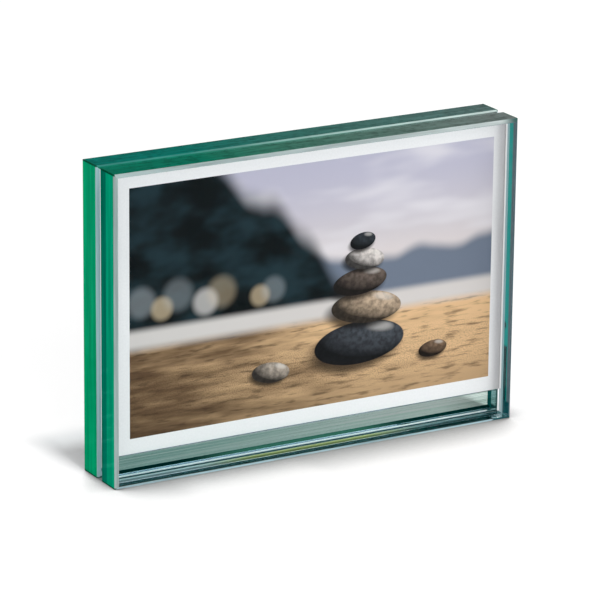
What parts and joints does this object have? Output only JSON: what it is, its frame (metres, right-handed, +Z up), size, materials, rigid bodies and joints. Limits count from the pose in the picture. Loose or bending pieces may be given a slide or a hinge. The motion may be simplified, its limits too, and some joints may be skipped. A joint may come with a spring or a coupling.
{
  "type": "glass picture frame",
  "caption": "Free-standing block picture frame: thick bevelled glass panes bonded to a clear strip, with a white-bordered print that slides up out of the slot between them.",
  "frame": {"origin": "on the table, under the middle of the two panes together", "axes": "+X to the right along the frame seen from the front, +Y from front to back, +Z up"},
  "size_m": [0.165, 0.0254, 0.115],
  "materials": {
    "pane_glass": "polished, greenish at the edges",
    "clear_strip": "clear, polished",
    "clear_bond": "clear, cured",
    "photo_paper": "satin coated"
  },
  "bodies": {
    "glass_block": {"front_pane": "pane_glass", "back_pane": "pane_glass", "spacer_strip": "clear_strip", "front_bond": "clear_bond", "back_bond": "clear_bond"},
    "print": {"photo_print": "photo_paper"}
  },
  "joints": [
    {"name": "print_slide", "type": "slide", "parent": "glass_block", "child": "print", "axis": [0, 0, 1], "range_m": [0, 0.108]}
  ]
}
